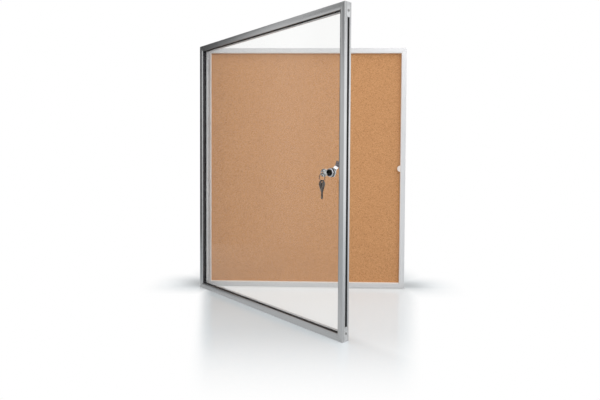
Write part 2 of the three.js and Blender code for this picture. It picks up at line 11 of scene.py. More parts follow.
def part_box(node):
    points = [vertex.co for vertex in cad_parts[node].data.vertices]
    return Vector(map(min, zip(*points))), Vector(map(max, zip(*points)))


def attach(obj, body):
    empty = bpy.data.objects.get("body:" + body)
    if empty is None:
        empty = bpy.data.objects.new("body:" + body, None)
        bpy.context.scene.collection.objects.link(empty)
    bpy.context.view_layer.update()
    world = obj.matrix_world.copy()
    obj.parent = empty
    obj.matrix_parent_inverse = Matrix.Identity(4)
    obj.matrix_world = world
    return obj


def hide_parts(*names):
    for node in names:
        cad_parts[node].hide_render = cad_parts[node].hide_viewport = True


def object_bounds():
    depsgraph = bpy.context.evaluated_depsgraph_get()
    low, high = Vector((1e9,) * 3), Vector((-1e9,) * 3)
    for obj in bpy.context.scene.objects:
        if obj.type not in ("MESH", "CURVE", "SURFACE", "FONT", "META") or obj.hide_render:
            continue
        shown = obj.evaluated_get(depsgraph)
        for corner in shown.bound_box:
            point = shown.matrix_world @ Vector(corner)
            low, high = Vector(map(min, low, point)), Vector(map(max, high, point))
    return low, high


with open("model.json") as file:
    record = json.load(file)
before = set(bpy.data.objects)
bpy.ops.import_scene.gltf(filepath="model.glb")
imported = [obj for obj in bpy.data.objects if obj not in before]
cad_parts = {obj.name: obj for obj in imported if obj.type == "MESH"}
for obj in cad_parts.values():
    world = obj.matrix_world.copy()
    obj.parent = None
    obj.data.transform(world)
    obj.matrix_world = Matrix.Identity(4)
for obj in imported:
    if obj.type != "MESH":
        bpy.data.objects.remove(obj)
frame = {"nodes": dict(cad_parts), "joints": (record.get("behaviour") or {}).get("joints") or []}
cad_low, cad_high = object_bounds()

bl_info = {
    "name": "Lockable notice board",
    "version": (1, 0, 0),
    "blender": (4, 5, 0),
    "location": "3D View > Sidebar > Notice Board",
    "description": "Dresses the notice board's solids with finishes, fasteners, keys and a studio",
    "category": "Object",
}

MM = 0.001

# Points closer than this are one point
merge_reach = 0.002 * MM

# Where the joints are. The door stands open at rest, by the turn that would shut it
joints = {joint["name"]: joint for joint in frame["joints"]}
hinge_joint = joints["door_hinge"]
lock_joint = joints["lock_turn"]
door_turn = math.radians(-hinge_joint["range_deg"][0])
hinge_axis = Vector(hinge_joint["pos_m"])
hinge_place = Matrix.Translation(hinge_axis) @ Matrix.Rotation(-door_turn, 4, "Z")
lock_place = Matrix.Translation(Vector(lock_joint["pos_m"])) @ Matrix.Rotation(-door_turn, 4, "Z")

# The door's own frame has its origin at the face, in line with the hinge's axis
axis_behind_face = 25.5 * MM
axis_beside_edge = 2.8 * MM
door_place = hinge_place @ Matrix.Translation((0, -axis_behind_face, 0))
lock_face_depth = (lock_place.inverted() @ door_place @ Vector((0, 0, 0))).y
key_hole_depth = (lock_place.inverted() @ Vector(joints["ring_swing"]["pos_m"])).y

# The case and the door have one outline. A bar is the width of their sections' faces
board_half = Vector((0.375, 0.0, 0.45))
door_middle = door_place @ Matrix.Translation((board_half.x + axis_beside_edge, 0, 0))
case_bar = 18.5 * MM
door_bar = 19.0 * MM
bead_drawn = 2.9 * MM
mitre_reach = 0.6 * MM

ring_radius = 10.5 * MM
ring_slack = 1.4 * MM


def linear(red, green, blue):
    """Display levels of 0 to 255 as a scene-linear colour."""

    def one(level):
        share = level / 255
        if share <= 0.04045:
            return share / 12.92
        return ((share + 0.055) / 1.055) ** 2.4

    return one(red), one(green), one(blue)


def toned(colour, share):
    """A colour made darker or lighter."""
    return tuple(min(1.0, c * share) for c in colour)


# Shader maths


class Wire:
    """A socket in a finish. Arithmetic on it adds the nodes that work the value out."""

    def __init__(self, finish, socket):
        self.finish = finish
        self.socket = socket

    def math(self, operation, *values):
        return self.finish.node("ShaderNodeMath", {"operation": operation}, dict(enumerate(values)))

    def __add__(self, other):
        return self.math("ADD", self, other)

    __radd__ = __add__

    def __sub__(self, other):
        return self.math("SUBTRACT", self, other)

    def __rsub__(self, other):
        return self.math("SUBTRACT", other, self)

    def __mul__(self, other):
        return self.math("MULTIPLY", self, other)

    __rmul__ = __mul__

    def size(self):
        return self.math("ABSOLUTE", self)

    def least(self, other):
        return self.math("MINIMUM", self, other)

    def most(self, other):
        return self.math("MAXIMUM", self, other)

    def step(self, start, end):
        """0 up to start, 1 from end on, and a soft rise between them."""
        settings = {"interpolation_type": "SMOOTHSTEP"}
        return self.finish.node("ShaderNodeMapRange", settings, {0: self, 1: start, 2: end})

    def spread(self, low, high):
        """A value of 0 to 1 as one of low to high."""
        return self.finish.node("ShaderNodeMapRange", {}, {0: self, 3: low, 4: high})


class Finish:
    """A node tree, built from plain calls."""

    def __init__(self, tree):
        self.tree = tree
        self.tree.nodes.clear()

    def node(self, kind, settings=None, inputs=None, output=0):
        """Adds one node: its settings first, then the values or links of its sockets."""
        node = self.tree.nodes.new(kind)
        for name, value in (settings or {}).items():
            setattr(node, name, value)
        for name, value in (inputs or {}).items():
            socket = node.inputs[name]
            if isinstance(value, Wire):
                self.tree.links.new(value.socket, socket)
            elif socket.type == "RGBA" and len(value) == 3:
                socket.default_value = (*value, 1)
            else:
                socket.default_value = value
        return Wire(self, node.outputs[output])

    def place(self, turn=0.0, stretch=(1, 1, 1)):
        """The piece's own coordinates in metres, turned about the vertical and then stretched."""
        own = self.node("ShaderNodeTexCoord", output="Object")
        turned = self.node("ShaderNodeMapping", {}, {"Vector": own, "Rotation": (0, 0, turn)})
        return self.node("ShaderNodeVectorMath", {"operation": "MULTIPLY"}, {0: turned, 1: stretch})

    def noise(self, place, scale, detail=2.0, rough=0.5):
        inputs = {"Vector": place, "Scale": scale, "Detail": detail, "Roughness": rough}
        return self.node("ShaderNodeTexNoise", {}, inputs)

    def cells(self, place, scale, feature="F1", output="Distance"):
        inputs = {"Vector": place, "Scale": scale}
        return self.node("ShaderNodeTexVoronoi", {"feature": feature}, inputs, output)

    def mix(self, amount, first, second):
        """Two colours mixed by an amount of 0 to 1."""
        inputs = {0: amount, 6: first, 7: second}
        return self.node("ShaderNodeMix", {"data_type": "RGBA"}, inputs, output=2)

    def part(self, vector, axis):
        """One number of a vector: 0 for X, 1 for Y or 2 for Z."""
        return self.node("ShaderNodeSeparateXYZ", {}, {0: vector}, output=axis)

    def scaled(self, vector, share):
        return self.node("ShaderNodeVectorMath", {"operation": "SCALE"}, {0: vector, "Scale": share})

    def bump(self, height, strength, reach):
        inputs = {"Height": height, "Strength": strength, "Distance": reach}
        return self.node("ShaderNodeBump", {}, inputs, "Normal")

    def ray(self, kind):
        """1 for rays of one kind, and 0 for all others."""
        return self.node("ShaderNodeLightPath", output=f"Is {kind} Ray")

    def surface(self, shader):
        out = self.tree.nodes.new("ShaderNodeOutputMaterial")
        self.tree.links.new(shader.socket, out.inputs["Surface"])


def new_finish(name):
    material = bpy.data.materials.new(name)
    material.use_nodes = True
    return material, Finish(material.node_tree)


def principled(finish, **inputs):
    """The main shader. Names have underlines for spaces."""
    named = {name.replace("_", " "): value for name, value in inputs.items()}
    return finish.node("ShaderNodeBsdfPrincipled", {}, named, "BSDF")


def inner_face(finish, place, middle, bar):
    """1 on the inward faces of a frame's sections, and 0 on their other faces."""
    beside = board_half.x - (finish.part(place, 0) - middle).size()
    above = board_half.z - finish.part(place, 2).size()
    return beside.least(above).step(bar - 0.15 * MM, bar - 0.05 * MM)


def drawn_metal(name, colour, rough, metallic, along, turn=0.0, edge_dark_and_lit_paint=None, painted_light_wall_colour=None):
    """Satin aluminium section: fine die lines along its length, a soft grain and faint handling marks.

    The door's sections have two more colours on their inner edge: painted dark before the pane, and painted
    pale and matt behind it, a painted light in place of the metal's mirrored brown.
    The case's have one on their inner wall: painted near white and matt, a painted light that lifts the
    shade in the recess round the cork."""
    material, finish = new_finish(name)
    line_width = 0.7 * MM
    line_length = 0.5
    fine, long = 1 / line_width, 1 / line_length
    stretch = (long, fine, fine) if along == "X" else (fine, fine, long)
    broad_stretch = tuple(s * 0.22 for s in stretch)
    lines = finish.noise(finish.place(turn, stretch), 1.0, 3.0, 0.65)
    broad = finish.noise(finish.place(turn, broad_stretch), 1.0, 1.0)
    grain = finish.noise(finish.place(), 2600.0, 2.0)
    marks = finish.noise(finish.place(), 9.0, 4.0, 0.6)
    shade = lines.spread(-0.5, 0.5) * 0.10 + broad.spread(-0.5, 0.5) * 0.08 + grain.spread(-0.5, 0.5) * 0.05
    tone = finish.mix((shade + 0.5).step(0.36, 0.64), toned(colour, 0.88), toned(colour, 1.07))
    roughness = lines.spread(rough - 0.07, rough + 0.07) + marks.step(0.48, 0.72) * 0.06
    # The door's inner edge is painted dark before the pane, and pale and matt behind it as painted light
    if edge_dark_and_lit_paint:
        place = finish.place(turn)
        turned = Matrix.Rotation(turn, 3, "Z")
        edge = inner_face(finish, place, (turned @ door_middle.translation).x, door_bar)
        face = (turned @ door_place.translation).y
        front_end, back_start = 13.0 * MM, 14.0 * MM
        behind = (finish.part(place, 1) - face).step(front_end, back_start)
        tone = finish.mix(edge, tone, finish.mix(behind, *edge_dark_and_lit_paint))
        metallic = (1 - edge * 0.9) * metallic
    # The case's inner wall is painted near white and matt: painted light that lifts the shade in the recess
    # round the cork
    if painted_light_wall_colour:
        wall = inner_face(finish, finish.place(), 0.0, case_bar)
        tone = finish.mix(wall, tone, painted_light_wall_colour)
        metallic = (1 - wall * 0.9) * metallic
    bump = finish.bump(lines * 0.8 + grain * 0.35, 0.25, 0.03 * MM)
    finish.surface(principled(finish, Base_Color=tone, Metallic=metallic, Roughness=roughness, Normal=bump))
    return material


def cast_metal(name, colour, rough, metallic, grain_size):
    """Satin cast or plated metal: a fine even grain with softly worn patches."""
    material, finish = new_finish(name)
    place = finish.place()
    grain = finish.noise(place, 1 / grain_size, 3.0, 0.6)
    patches = finish.noise(place, 60.0, 3.0)
    wear = (grain * 0.5 + patches * 0.5).step(0.35, 0.65)
    tone = finish.mix(wear, toned(colour, 0.80), toned(colour, 1.15))
    roughness = patches.spread(rough - 0.06, rough + 0.08) + grain.spread(-0.04, 0.04)
    bump = finish.bump(grain, 0.30, 0.04 * MM)
    finish.surface(principled(finish, Base_Color=tone, Metallic=metallic, Roughness=roughness, Normal=bump))
    return material


def polished_metal(name, colour, rough):
    """Polished plating: nearly even, with faint smears and a few hairline scratches."""
    material, finish = new_finish(name)
    place = finish.place()
    smears = finish.noise(place, 220.0, 3.0, 0.6)
    hair = finish.noise(finish.place(0.6, (2600, 90, 900)), 1.0, 2.0, 0.7)
    tone = finish.mix(smears.step(0.35, 0.7), toned(colour, 0.90), colour)
    roughness = smears.step(0.40, 0.75) * 0.08 + hair.step(0.60, 0.75) * 0.10 + rough
    bump = finish.bump(hair, 0.06, 0.02 * MM)
    finish.surface(principled(finish, Base_Color=tone, Metallic=1.0, Roughness=roughness, Normal=bump))
    return material


def rolled_steel(name, colour, rough, stretch, turn=0.0):
    """Plated steel sheet or bar: short rolling marks one way, and cloudy plating."""
    material, finish = new_finish(name)
    marks = finish.noise(finish.place(turn, stretch), 1.0, 3.0, 0.6)
    clouds = finish.noise(finish.place(), 140.0, 4.0, 0.6)
    wear = (marks * 0.45 + clouds * 0.55).step(0.32, 0.68)
    tone = finish.mix(wear, toned(colour, 0.72), toned(colour, 1.18))
    roughness = clouds.spread(rough - 0.06, rough + 0.10) + marks.spread(-0.05, 0.05)
    bump = finish.bump(marks * 0.7 + clouds * 0.3, 0.22, 0.03 * MM)
    finish.surface(principled(finish, Base_Color=tone, Metallic=1.0, Roughness=roughness, Normal=bump))
    return material


def shade_tipped_steel(name, colour, tip_shade_colour, turn):
    """The cam's zinc plate, painted bright, partly as a painted highlight, with its tip painted dark:
    painted shade where the tip mirrors dark surroundings.
    """
    material, finish = new_finish(name)
    place = finish.place(turn)
    axis = Matrix.Rotation(turn, 3, "Z") @ lock_place.translation
    sideways, upward = 0.47, 0.88
    tip_shade_start, tip_shade_full = 19.2 * MM, 19.9 * MM
    reach = (finish.part(place, 0) - axis.x) * sideways + finish.part(place, 2) * upward
    marks = finish.noise(finish.place(turn, (300, 900, 60)), 1.0, 3.0, 0.6)
    clouds = finish.noise(place, 140.0, 4.0, 0.6)
    wear = (marks * 0.45 + clouds * 0.55).step(0.32, 0.68)
    plate = finish.mix(wear, toned(colour, 0.84), toned(colour, 1.12))
    tip_shade = finish.mix(wear, toned(tip_shade_colour, 0.80), toned(tip_shade_colour, 1.15))
    # Painted shade: the tip is darker than the plate
    tip = (reach + clouds * 1.5 * MM).step(tip_shade_start, tip_shade_full)
    tone = finish.mix(tip, plate, tip_shade)
    roughness = clouds.spread(0.10, 0.22) + tip * 0.15
    bump = finish.bump(marks * 0.7 + clouds * 0.3, 0.22, 0.03 * MM)
    finish.surface(principled(finish, Base_Color=tone, Metallic=1.0, Roughness=roughness, Normal=bump))
    return material


def soft_black(name, colour, rough, lines, gloss=0.5):
    """Black rubber or moulded plastic: a dull skin, fine grain, faint dust, and draw lines across it."""
    material, finish = new_finish(name)
    skin = finish.noise(finish.place(), 1800.0, 3.0, 0.6)
    dust = finish.noise(finish.place(), 38.0, 5.0, 0.65)
    drawn = finish.noise(finish.place(0.0, lines), 1.0, 2.0)
    dusty = tuple(c * 2.6 + 0.004 for c in colour)
    tone = finish.mix(dust.step(0.45, 0.80) * 0.5 + skin * 0.22, colour, dusty)
    roughness = skin.spread(rough - 0.10, rough + 0.10) + dust.step(0.5, 0.8) * 0.08
    bump = finish.bump(skin * 0.6 + drawn * 0.4, 0.25, 0.06 * MM)
    finish.surface(
        principled(finish, Base_Color=tone, Roughness=roughness, Specular_IOR_Level=gloss, Normal=bump)
    )
    return material


def pressed_cork(settings):
    """Fine pressed cork: granules of several browns with dark bark specks and pits between them."""
    material, finish = new_finish("pressed_cork")
    place = finish.place()
    warp = finish.noise(place, 350.0, 2.0)
    shift = finish.scaled(warp, 0.9 * MM)
    shifted = finish.node("ShaderNodeVectorMath", {"operation": "ADD"}, {0: place, 1: shift})
    grain = settings.grain_size
    granule = finish.cells(shifted, 1 / grain, output="Color")
    chance = finish.part(granule, 0)
    other = finish.part(granule, 1)
    gaps = finish.cells(shifted, 1 / grain, "DISTANCE_TO_EDGE")
    small = finish.cells(place, 2.6 / grain, output="Color")
    small_chance = finish.part(small, 2)
    pores = finish.noise(place, 2400.0, 3.0, 0.6)
    drift = finish.noise(place, 14.0, 3.0)
    pale = chance.step(0.15, 0.85).spread(0.26, 0.80)
    base = finish.mix(pale, settings.dark_granule, settings.light_granule)
    base = finish.mix((small_chance - 0.5).size() * 0.32, base, settings.light_granule)
    speck = other.step(0.90, 0.97) * 0.42 + small_chance.step(0.93, 0.98) * 0.30
    base = finish.mix(speck.least(1.0), base, settings.bark)
    seam = 1 - gaps.step(0.0, 0.10)
    base = finish.mix(seam * 0.26, base, settings.bark)
    base = finish.mix(drift.spread(0.05, 0.25) + pores.spread(-0.08, 0.12), base, settings.dark_granule)
    height = gaps.step(0.0, 0.20) * 0.6 + pores * 0.4 + other * 0.3
    bump = finish.bump(height, 0.30, 0.20 * MM)
    roughness = pores.spread(0.78, 0.95)
    finish.surface(
        principled(finish, Base_Color=base, Roughness=roughness, Specular_IOR_Level=0.25, Normal=bump)
    )
    return material


def hardboard(name, colour):
    """Bare hardboard: matted fibres, darker flecks and a mesh-pressed surface."""
    material, finish = new_finish(name)
    place = finish.place()
    fibres = finish.noise(finish.place(0.5, (900, 900, 220)), 1.0, 4.0, 0.7)
    crossing = finish.noise(finish.place(-0.4, (260, 900, 900)), 1.0, 4.0, 0.7)
    drift = finish.noise(place, 7.0, 4.0)
    ribs = {"Vector": place, "Scale": 120.0}
    weave = finish.node("ShaderNodeTexWave", {"bands_direction": "X"}, ribs)
    cross = finish.node("ShaderNodeTexWave", {"bands_direction": "Z"}, ribs)
    matted = (fibres * 0.4 + crossing * 0.35 + drift * 0.25).step(0.34, 0.66)
    tone = finish.mix(matted, toned(colour, 0.62), toned(colour, 1.30))
    bump = finish.bump(fibres * 0.5 + weave * 0.3 + cross * 0.3, 0.35, 0.12 * MM)
    roughness = fibres.spread(0.62, 0.85)
    finish.surface(principled(finish, Base_Color=tone, Roughness=roughness, Normal=bump))
    return material


def clear_pane(name, colour, rough):
    """Clear glazing with a faint film of dust. Lamps shine through it."""
    material, finish = new_finish(name)
    film = finish.noise(finish.place(), 5.0, 5.0, 0.6)
    wipes = finish.noise(finish.place(0.3, (3, 3, 40)), 1.0, 3.0)
    roughness = (film * 0.6 + wipes * 0.4).spread(0.0, 2 * rough)
    glass = principled(finish, Base_Color=colour, Roughness=roughness, IOR=1.22, Transmission_Weight=0.987)
    open_way = finish.node("ShaderNodeBsdfTransparent", {}, {"Color": (0.93, 0.94, 0.94)})
    finish.surface(finish.node("ShaderNodeMixShader", {}, {0: finish.ray("Shadow"), 1: glass, 2: open_way}))
    return material


# Settings that a user would change


class NoticeBoardMetal(bpy.types.PropertyGroup):
    case_colour: bpy.props.FloatVectorProperty(
        name="Case colour",
        description="Colour of the case's satin aluminium sections",
        default=linear(212, 212, 213),
        subtype="COLOR",
    )
    # Darker than the case's sections: partly the door's more metallic finish, partly painted shade on the
    # open door
    door_colour: bpy.props.FloatVectorProperty(
        name="Door colour",
        description="Colour of the door's satin aluminium sections",
        default=linear(176, 177, 178),
        subtype="COLOR",
    )
    bracket_colour: bpy.props.FloatVectorProperty(
        name="Bracket colour",
        description="Colour of the door's cast corner brackets",
        default=linear(188, 189, 190),
        subtype="COLOR",
    )
    roughness: bpy.props.FloatProperty(
        name="Roughness",
        description="How matt the aluminium sections are",
        default=0.34,
        min=0.0,
        max=1.0,
        subtype="FACTOR",
    )


class NoticeBoardCork(bpy.types.PropertyGroup):
    grain_size: bpy.props.FloatProperty(
        name="Grain size",
        description="Width of the cork's larger granules",
        default=2.4 * MM,
        min=0.5 * MM,
        max=10 * MM,
        unit="LENGTH",
        precision=5,
    )
    light_granule: bpy.props.FloatVectorProperty(
        name="Light granules",
        description="Colour of the palest cork granules",
        default=linear(214, 163, 116),
        subtype="COLOR",
    )
    dark_granule: bpy.props.FloatVectorProperty(
        name="Dark granules",
        description="Colour of the browner cork granules",
        default=linear(178, 124, 78),
        subtype="COLOR",
    )
    bark: bpy.props.FloatVectorProperty(
        name="Bark specks",
        description="Colour of the bark specks and the pits between granules",
        default=linear(112, 72, 42),
        subtype="COLOR",
    )
    backing_colour: bpy.props.FloatVectorProperty(
        name="Backing colour",
        description="Colour of the hardboard behind the cork",
        default=linear(142, 106, 72),
        subtype="COLOR",
    )


class NoticeBoardTrim(bpy.types.PropertyGroup):
    rubber_colour: bpy.props.FloatVectorProperty(
        name="Seal colour",
        description="Colour of the door's seals and edge strips",
        default=linear(38, 38, 40),
        subtype="COLOR",
    )
    glass_colour: bpy.props.FloatVectorProperty(
        name="Pane tint",
        description="Tint of the clear pane",
        default=(0.962, 0.965, 0.958),
        subtype="COLOR",
    )


class NoticeBoardFasteners(bpy.types.PropertyGroup):
    bracket_head: bpy.props.FloatProperty(
        name="Bracket screw head",
        description="Radius of the corner brackets' screw heads",
        default=3.8 * MM,
        min=1 * MM,
        max=10 * MM,
        unit="LENGTH",
        precision=5,
    )
    hinge_head: bpy.props.FloatProperty(
        name="Hinge screw head",
        description="Radius of the hinge leaves' screw heads",
        default=2.6 * MM,
        min=1 * MM,
        max=10 * MM,
        unit="LENGTH",
        precision=5,
    )
    hinge_pitch: bpy.props.FloatProperty(
        name="Hinge screw pitch",
        description="Distance between the screws along a hinge leaf",
        default=0.1,
        min=0.02,
        max=0.5,
        unit="LENGTH",
    )
    hinge_count: bpy.props.IntProperty(
        name="Hinge screws",
        description="Number of screws in each hinge leaf",
        default=8,
        min=2,
        max=40,
    )


class NoticeBoardStudio(bpy.types.PropertyGroup):
    # The floor's grey is tinted blue to cancel the brown that the cork casts and mirrors on it: painted
    # light
    floor_colour: bpy.props.FloatVectorProperty(
        name="Floor colour",
        description="Colour of the pale floor near the board",
        default=linear(216, 223, 227),
        subtype="COLOR",
    )
    sky_level: bpy.props.FloatProperty(
        name="Sky level",
        description="Brightness of the even light from all round",
        default=0.71,
        min=0.0,
        max=3.0,
    )
    key_power: bpy.props.FloatProperty(
        name="Key lamp",
        description="Power of the large soft lamp in front",
        default=40.0,
        min=0.0,
        max=2000.0,
        unit="POWER",
    )
    fill_power: bpy.props.FloatProperty(
        name="Fill lamp",
        description="Power of the low soft lamp in front, which metal doesn't mirror",
        default=3.4,
        min=0.0,
        max=2000.0,
        unit="POWER",
    )
    top_power: bpy.props.FloatProperty(
        name="Top lamp",
        description="Power of the soft lamp above",
        default=13.5,
        min=0.0,
        max=2000.0,
        unit="POWER",
    )
    side_power: bpy.props.FloatProperty(
        name="Side lamp",
        description="Power of the soft lamp on the right",
        default=8.0,
        min=0.0,
        max=2000.0,
        unit="POWER",
    )


# Mesh helpers


def piece_from(bm, name, material, body, smooth_angle=35.0):
    """Makes a bmesh a piece of the scene that moves with a body."""
    bmesh.ops.remove_doubles(bm, verts=bm.verts, dist=merge_reach)
    bmesh.ops.recalc_face_normals(bm, faces=bm.faces)
    mesh = bpy.data.meshes.new(name)
    bm.to_mesh(mesh)
    bm.free()
    mesh.polygons.foreach_set("use_smooth", [True] * len(mesh.polygons))
    mesh.set_sharp_from_angle(angle=math.radians(smooth_angle))
    piece = bpy.data.objects.new(name, mesh)
    bpy.context.scene.collection.objects.link(piece)
    piece.data.materials.append(material)
    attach(piece, body)
    return piece


def facing(place, direction):
    """The matrix that puts a piece made along +Z at a place, pointing in a direction."""
    return Matrix.Translation(place) @ Vector(direction).to_track_quat("Z", "Y").to_matrix().to_4x4()


def add_to(bm, part, matrix):
    """Puts one small shape, made at the origin, into a larger bmesh at its place."""
    bmesh.ops.transform(part, matrix=matrix, verts=part.verts)
    mesh = bpy.data.meshes.new("part")
    part.to_mesh(mesh)
    part.free()
    bm.from_mesh(mesh)
    bpy.data.meshes.remove(mesh)


def cross_screw(bm, matrix, head_radius, rise, sink, top_share):
    """A screw head with a cross recess, at the matrix's origin and pointing along its +Z.

    It rises above the origin and is sunk below it. Its top narrows to a share of its radius."""
    head = bmesh.new()
    bmesh.ops.create_cone(
        head,
        cap_ends=True,
        segments=24,
        radius1=head_radius,
        radius2=head_radius * top_share,
        depth=rise + sink,
    )
    bmesh.ops.translate(head, verts=head.verts, vec=(0, 0, (rise - sink) / 2))
    top = max(head.faces, key=lambda face: face.calc_center_median().z)
    rim = head_radius * 0.30
    bmesh.ops.inset_region(head, faces=[top], thickness=rim, depth=rise * 0.25)
    arm = head_radius * 0.58
    half_arm = math.radians(15)
    waist = arm * math.tan(half_arm)
    quarter = math.pi / 2
    for vert in top.verts:
        turn = math.atan2(vert.co.y, vert.co.x)
        off = abs((turn + quarter / 2) % quarter - quarter / 2)
        on_arm = off < half_arm + math.radians(0.5)
        reach = arm / math.cos(off) if on_arm else waist / math.sin(off)
        vert.co.x = reach * math.cos(turn)
        vert.co.y = reach * math.sin(turn)
    taper, recess = head_radius * 0.03, head_radius * 0.34
    bmesh.ops.inset_region(head, faces=[top], thickness=taper, depth=-recess)
    add_to(bm, head, matrix)


def dress(material, *names):
    """Gives CAD nodes their finish."""
    for name in names:
        node = frame["nodes"][name]
        node.data.materials.clear()
        node.data.materials.append(material)


def names_with(*starts):
    return [name for name in frame["nodes"] if name.startswith(starts)]


# One operator for each group of pieces


class NOTICE_OT_case(bpy.types.Operator):
    """Finish the case's four sections, its corner keys and the keeper, and screw the keeper on"""

    bl_idname = "notice_board.case"
    bl_label = "Case frame"

    def execute(self, context):
        metal = context.scene.notice_metal
        # Painted light: the inner wall is near white and matt, to lift the shade in the recess
        wall = linear(248, 247, 245)
        for along, word in (("X", "rail"), ("Z", "stile")):
            name = f"case_section_{word}"
            section = drawn_metal(name, metal.case_colour, metal.roughness, 0.55, along, painted_light_wall_colour=wall)
            dress(section, *names_with(f"case_{word}"))
        # The keeper is the case's colour tinted warm: a painted reflection of the cork beside it
        painted_cork_reflection_tint = tuple(c * share for c, share in zip(metal.case_colour, (1.18, 1.05, 0.95)))
        dress(drawn_metal("keeper_plate", painted_cork_reflection_tint, metal.roughness, 0.4, "Z"), "keeper")
        zinc = rolled_steel("corner_key_zinc", linear(190, 190, 188), 0.35, (700, 700, 90))
        dress(zinc, *names_with("case_corner_key"))
        screws = bmesh.new()
        low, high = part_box("keeper")
        middle = (low + high) / 2
        leg_face = high.x - 1.5 * MM
        leg_middle = low.y + 6.2 * MM
        spread = 6.4 * MM
        for side in (-1, 1):
            at = facing((leg_face, leg_middle, middle.z + side * spread), (-1, 0, 0))
            cross_screw(screws, at, 2.3 * MM, rise=0.5 * MM, sink=0.3 * MM, top_share=0.8)
        steel = polished_metal("keeper_screw_steel", linear(205, 205, 205), 0.18)
        piece_from(screws, "keeper_screws", steel, "case")
        return {"FINISHED"}


class NOTICE_OT_board(bpy.types.Operator):
    """Finish the cork sheet and the hardboard behind it"""

    bl_idname = "notice_board.board"
    bl_label = "Cork and backing"

    def execute(self, context):
        cork = context.scene.notice_cork
        dress(pressed_cork(cork), "cork_sheet")
        dress(hardboard("bare_hardboard", cork.backing_colour), "backing_board")
        return {"FINISHED"}


class NOTICE_OT_hangers(bpy.types.Operator):
    """Finish the two wall hangers and rivet them to the case"""

    bl_idname = "notice_board.hangers"
    bl_label = "Wall hangers"

    def execute(self, context):
        zinc = rolled_steel("hanger_zinc", linear(196, 197, 196), 0.32, (900, 900, 120))
        dress(zinc, *names_with("wall_hanger"))
        rivets = bmesh.new()
        spread, below_top = 10 * MM, 5.5 * MM
        radius, flatness = 2.6 * MM, 0.12
        for name in names_with("wall_hanger"):
            low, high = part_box(name)
            for side in (-1, 1):
                at = Vector(((low.x + high.x) / 2 + side * spread, high.y, high.z - below_top))
                made = bmesh.ops.create_uvsphere(rivets, u_segments=20, v_segments=10, radius=radius)
                bmesh.ops.scale(rivets, verts=made["verts"], vec=(1, flatness, 1))
                bmesh.ops.translate(rivets, verts=made["verts"], vec=at)
        steel = polished_metal("rivet_steel", linear(190, 190, 190), 0.25)
        piece_from(rivets, "hanger_rivets", steel, "case")
        return {"FINISHED"}


class NOTICE_OT_hinge(bpy.types.Operator):
    """Finish the long hinge and screw its leaves to the case and the door"""

    bl_idname = "notice_board.hinge"
    bl_label = "Hinge"

    def execute(self, context):
        metal = context.scene.notice_metal
        sizes = context.scene.notice_fasteners
        leaf = drawn_metal("hinge_leaf", metal.door_colour, metal.roughness, 0.9, "Z")
        dress(leaf, "hinge_leaf_case", "hinge_leaf_door")
        dress(rolled_steel("hinge_pin_steel", linear(190, 190, 190), 0.25, (500, 500, 60)), "hinge_pin")
        steel = polished_metal("hinge_screw_steel", linear(200, 200, 200), 0.2)
        leaf_face = 1.3 * MM
        leaf_middle = 10.5 * MM
        for body, place, side in (
            ("case", Matrix.Translation(hinge_axis), 1),
            ("door", hinge_place, -1),
        ):
            screws = bmesh.new()
            for i in range(sizes.hinge_count):
                height = (i - (sizes.hinge_count - 1) / 2) * sizes.hinge_pitch
                at = place @ facing((leaf_face, side * leaf_middle, height), (-1, 0, 0))
                cross_screw(screws, at, sizes.hinge_head, rise=0.4 * MM, sink=0.3 * MM, top_share=0.72)
            piece_from(screws, f"hinge_screws_{body}", steel, body)
        return {"FINISHED"}


def trimmed_section(node, material):
    """One of the door's sections, from its CAD solid, with the bead behind the pane drawn back.

    At a mitre the bead's end is drawn back along the section too."""
    bm = bmesh.new()
    bm.from_mesh(frame["nodes"][node].data)
    bmesh.ops.remove_doubles(bm, verts=bm.verts, dist=merge_reach)
    bmesh.ops.transform(bm, matrix=door_middle.inverted(), verts=bm.verts)
    along, upward = (0, 2) if "rail" in node else (2, 0)
    for vert in bm.verts:
        inward = board_half[upward] - abs(vert.co[upward])
        mitred = board_half[along] - abs(vert.co[along]) - inward < mitre_reach
        if inward > door_bar + bead_drawn:
            vert.co[upward] += math.copysign(bead_drawn, vert.co[upward])
            if mitred:
                vert.co[along] += math.copysign(bead_drawn, vert.co[along])
    bmesh.ops.dissolve_limit(bm, angle_limit=math.radians(0.5), verts=bm.verts, edges=bm.edges)
    bmesh.ops.transform(bm, matrix=door_middle, verts=bm.verts)
    piece = piece_from(bm, f"{node}_section", material, "door")
    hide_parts(node)


class NOTICE_OT_door(bpy.types.Operator):
    """Cut the door's four sections, and finish its seals, edge strips and pane"""

    bl_idname = "notice_board.door"
    bl_label = "Door"

    def execute(self, context):
        metal = context.scene.notice_metal
        trim = context.scene.notice_trim
        rough = metal.roughness - 0.05
        # The door's inner edge colours: dark before the pane, and pale and matt behind it, a painted light
        # where the metal would mirror the brown cork
        edges = (linear(54, 54, 55), linear(196, 196, 198))
        # The rails are toned 5 % darker than the stiles: painted shade, as they catch less light
        for along, word, share in (("X", "rail", 0.95), ("Z", "stile", 1.0)):
            colour = toned(metal.door_colour, share)
            section = drawn_metal(f"door_section_{word}", colour, rough, 0.95, along, door_turn, edges)
            for name in names_with(f"door_{word}"):
                trimmed_section(name, section)
        rubber = soft_black("seal_rubber", trim.rubber_colour, 0.62, (20, 900, 900), 0.3)
        dress(rubber, *names_with("gasket"))
        darker = toned(trim.rubber_colour, 0.4)
        strip = soft_black("strip_plastic", darker, 0.6, (900, 900, 20), 0.12)
        dress(strip, *names_with("edge_strip"))
        dress(clear_pane("clear_pane", trim.glass_colour, rough=0.002), "pane")
        return {"FINISHED"}


